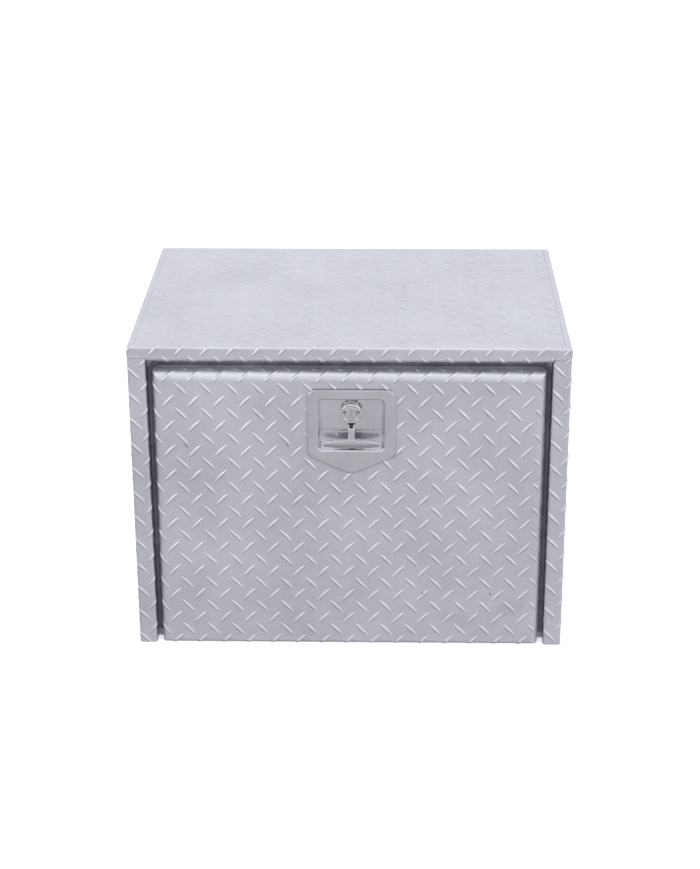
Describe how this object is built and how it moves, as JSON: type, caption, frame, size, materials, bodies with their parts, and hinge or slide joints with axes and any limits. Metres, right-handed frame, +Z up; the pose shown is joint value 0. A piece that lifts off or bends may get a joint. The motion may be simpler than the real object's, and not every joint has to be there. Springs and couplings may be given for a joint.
{
  "type": "truck tool box",
  "caption": "Underbody truck tool box in aluminium tread plate with a drop-down door and a recessed folding T-handle latch.",
  "frame": {"origin": "middle of the box's base, in the plane it stands on", "axes": "+Z up, the door faces -Y, +X is to the right of someone facing the door"},
  "size_m": [0.61, 0.4598, 0.457],
  "materials": {
    "tread_plate": "bright rolled tread plate, lightly scuffed",
    "plain_aluminium": "mill",
    "stainless_steel": "polished stainless",
    "bright_steel": "bright plated",
    "zinc_steel": "zinc plated",
    "seal_rubber": "matt dark grey"
  },
  "bodies": {
    "box": {"top_panel": "tread_plate", "left_side_panel": "tread_plate", "right_side_panel": "tread_plate", "back_panel": "tread_plate", "floor_panel": "tread_plate", "door_seal": "seal_rubber", "strike_plate": "stainless_steel", "left_box_tab": "plain_aluminium", "right_box_tab": "plain_aluminium", "hinge_leaf_box": "stainless_steel", "hinge_pin": "stainless_steel", "box_hinge_rivet_1": "stainless_steel", "box_hinge_rivet_2": "stainless_steel", "box_hinge_rivet_3": "stainless_steel", "box_hinge_rivet_4": "stainless_steel", "box_hinge_rivet_5": "stainless_steel"},
    "door": {"door_skin": "tread_plate", "door_liner": "plain_aluminium", "left_door_tab": "plain_aluminium", "right_door_tab": "plain_aluminium", "hinge_leaf_door": "stainless_steel", "latch_pan": "stainless_steel", "latch_gasket": "seal_rubber", "latch_backing_frame": "zinc_steel", "latch_stud_1": "zinc_steel", "latch_stud_2": "zinc_steel", "latch_stud_3": "zinc_steel", "latch_stud_4": "zinc_steel", "latch_nut_1": "zinc_steel", "latch_nut_2": "zinc_steel", "latch_nut_3": "zinc_steel", "latch_nut_4": "zinc_steel", "door_hinge_rivet_1": "stainless_steel", "door_hinge_rivet_2": "stainless_steel", "door_hinge_rivet_3": "stainless_steel", "door_hinge_rivet_4": "stainless_steel", "door_hinge_rivet_5": "stainless_steel"},
    "latch_spindle": {"latch_hub": "bright_steel", "spindle_bush": "zinc_steel", "latch_cam": "zinc_steel", "cam_washer": "zinc_steel", "cam_nut": "zinc_steel", "handle_pin": "zinc_steel"},
    "t_handle": {"t_handle": "bright_steel"},
    "lock_plug": {"lock_plug": "bright_steel"}
  },
  "joints": [
    {"name": "door_hinge", "type": "hinge", "parent": "box", "child": "door", "pos_m": [0, -0.2092, 0.0036], "axis": [1, 0, 0], "range_deg": [0, 90]},
    {"name": "spindle_turn", "type": "hinge", "parent": "door", "child": "latch_spindle", "pos_m": [0.003, -0.2165, 0.36], "axis": [0, 1, 0], "range_deg": [0, 90]},
    {"name": "handle_fold", "type": "hinge", "parent": "latch_spindle", "child": "t_handle", "pos_m": [0.003, -0.2245, 0.3395], "axis": [-1, 0, 0], "range_deg": [0, 90]},
    {"name": "key_turn", "type": "hinge", "parent": "latch_spindle", "child": "lock_plug", "pos_m": [0.003, -0.2265, 0.36], "axis": [0, 1, 0], "range_deg": [0, 90]}
  ],
  "couplings": [
    {"joint": "handle_fold", "follows": "spindle_turn", "ratio": 1}
  ]
}
